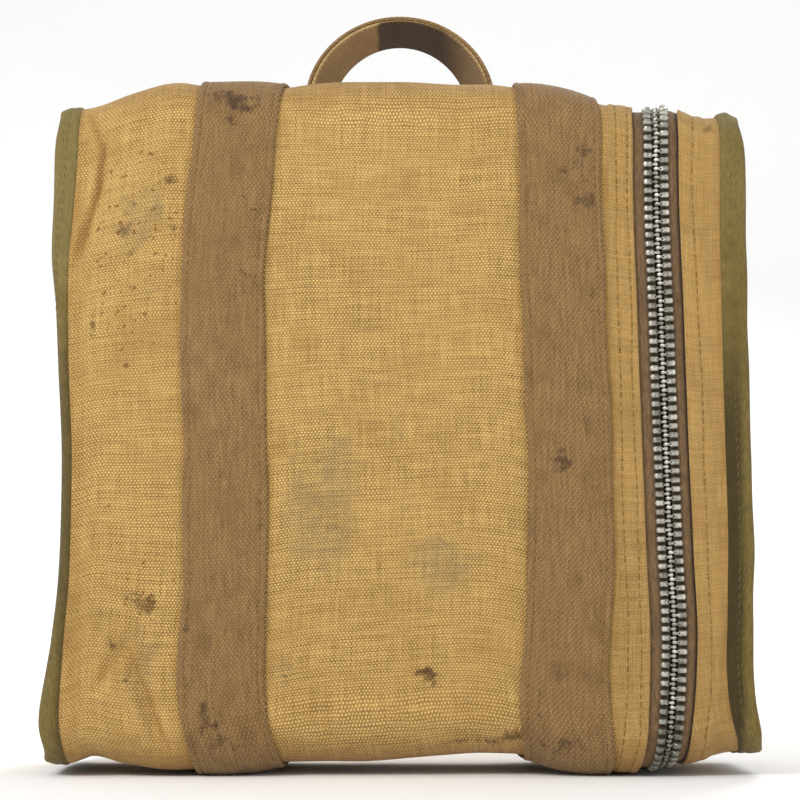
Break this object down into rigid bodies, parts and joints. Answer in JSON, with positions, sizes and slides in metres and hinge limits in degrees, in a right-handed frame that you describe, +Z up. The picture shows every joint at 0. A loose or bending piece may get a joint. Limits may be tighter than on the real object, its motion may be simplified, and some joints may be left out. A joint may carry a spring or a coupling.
{
  "type": "canvas mail pouch",
  "caption": "Boxy canvas mail pouch with two webbing bands all round, a webbing top handle, taped end seams and a zip-round end lid.",
  "frame": {"origin": "middle of the footprint, on the surface that the two webbing bands stand on", "axes": "+Z up; -Y is the front; +X towards the zip and the end lid"},
  "size_m": [0.268, 0.1116, 0.3016],
  "materials": {
    "canvas": "golden khaki cotton duck, worn and stained",
    "webbing": "plain-woven brown cotton webbing, matte and a little fuzzy",
    "handle_webbing": "brown cotton webbing, rubbed paler on top",
    "binding_tape": "olive cotton binding tape, matte",
    "zip_tape": "brown cotton zip tape",
    "zip_teeth": "aged dull grey metal teeth",
    "zip_hardware": "aged dull grey metal"
  },
  "bodies": {
    "pouch": {"body_wrap": "canvas", "left_end_panel": "canvas", "left_binding": "binding_tape", "left_band": "webbing", "right_band": "webbing", "handle_left_end": "handle_webbing", "handle_right_end": "handle_webbing", "body_zip_tape": "zip_tape", "body_zip_teeth": "zip_teeth", "body_top_run_teeth": "zip_teeth", "body_top_stop": "zip_hardware", "bottom_stop": "zip_hardware"},
    "lid": {"lid_wrap": "canvas", "lid_end_panel": "canvas", "right_binding": "binding_tape", "lid_zip_tape": "zip_tape", "lid_zip_teeth": "zip_teeth", "lid_top_run_teeth": "zip_teeth", "lid_top_stop": "zip_hardware"},
    "handle": {"handle_outer_webbing": "handle_webbing", "handle_inner_webbing": "handle_webbing"},
    "slider": {"zip_slider": "zip_hardware", "slider_bail": "zip_hardware"},
    "pull": {"pull_tab": "zip_hardware"}
  },
  "joints": [
    {"name": "lid_fold", "type": "hinge", "parent": "pouch", "child": "lid", "pos_m": [0.099, 0.05, 0.13], "axis": [0, 0, 1], "range_deg": [0, 135], "deforming": ["lid_top_run_teeth"]},
    {"name": "handle_lean", "type": "hinge", "parent": "pouch", "child": "handle", "pos_m": [0, 0, 0.274], "axis": [1, 0, 0], "range_deg": [-26, 44], "stiffness_Nm_per_rad": 0.05, "deforming": ["handle_left_end", "handle_right_end"]},
    {"name": "zip_slide", "type": "slide", "parent": "pouch", "child": "slider", "axis": [0, -1, 0], "range_m": [0, 0.044], "deforming": ["body_top_run_teeth"]},
    {"name": "pull_swing", "type": "hinge", "parent": "slider", "child": "pull", "pos_m": [0.099, 0.02, 0.2581], "axis": [-1, 0, 0], "range_deg": [0, 165]}
  ]
}
